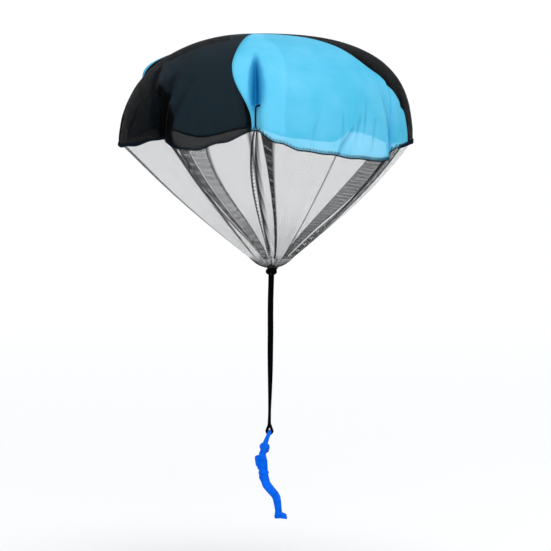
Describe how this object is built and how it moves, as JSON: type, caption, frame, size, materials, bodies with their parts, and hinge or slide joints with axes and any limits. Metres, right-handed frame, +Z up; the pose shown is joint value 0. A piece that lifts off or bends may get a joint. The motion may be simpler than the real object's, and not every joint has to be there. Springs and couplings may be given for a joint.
{
  "type": "toy parachute",
  "caption": "Toy parachute with a domed cloth canopy of blue and black gores, a gathered net skirt, a doubled tether cord and a moulded jumper hanging by the hands.",
  "frame": {"origin": "crown of the canopy, where the four seams meet and where the toy is held up", "axes": "+Z up along the toy, +X the way the jumper faces, -Y the front of the canopy with its deep pleat"},
  "size_m": [0.3003, 0.3001, 0.498],
  "materials": {
    "blue_cloth": "thin woven nylon, azure, slightly see-through, soft sheen",
    "black_cloth": "thin woven nylon, black, slightly see-through, soft sheen",
    "net": "fine black tulle, mostly open",
    "thread": "dark overlock stitching and seam allowances",
    "cord": "thin black cord",
    "jumper": "one blue moulding, satin"
  },
  "bodies": {
    "canopy": {"gore_blue_front": "blue_cloth", "gore_black_right": "black_cloth", "gore_blue_back": "blue_cloth", "gore_black_left": "black_cloth", "rim_edge_blue_front": "thread", "rim_edge_black_right": "thread", "rim_edge_blue_back": "thread", "rim_edge_black_left": "thread", "seam_front": "thread", "seam_right": "thread", "seam_back": "thread", "seam_left": "thread", "net_front": "net", "net_front_right": "net", "net_right": "net", "net_back_right": "net", "net_back": "net", "net_back_left": "net", "net_left": "net", "net_front_left": "net", "net_gather": "net"},
    "knot": {"cord_knot": "cord"},
    "tether": {"tether_strand_down": "cord", "tether_strand_up": "cord"},
    "loop": {"hand_loop": "cord"},
    "figure": {"jumper": "jumper"}
  },
  "joints": [
    {"name": "knot_swing", "type": "hinge", "parent": "canopy", "child": "knot", "pos_m": [0.0172, 0, -0.2419], "axis": [0, 1, 0], "range_deg": [-70, 70]},
    {"name": "tether_swing", "type": "hinge", "parent": "knot", "child": "tether", "pos_m": [0.0172, 0, -0.2419], "axis": [1, 0, 0], "range_deg": [-70, 70]},
    {"name": "cord_twist", "type": "hinge", "parent": "tether", "child": "loop", "pos_m": [0.0152, 0, -0.3987], "axis": [0, 0, 1], "range_deg": [-180, 180]},
    {"name": "figure_swing", "type": "hinge", "parent": "loop", "child": "figure", "pos_m": [0.0153, 0, -0.4076], "axis": [0, 1, 0], "range_deg": [-75, 75]}
  ]
}
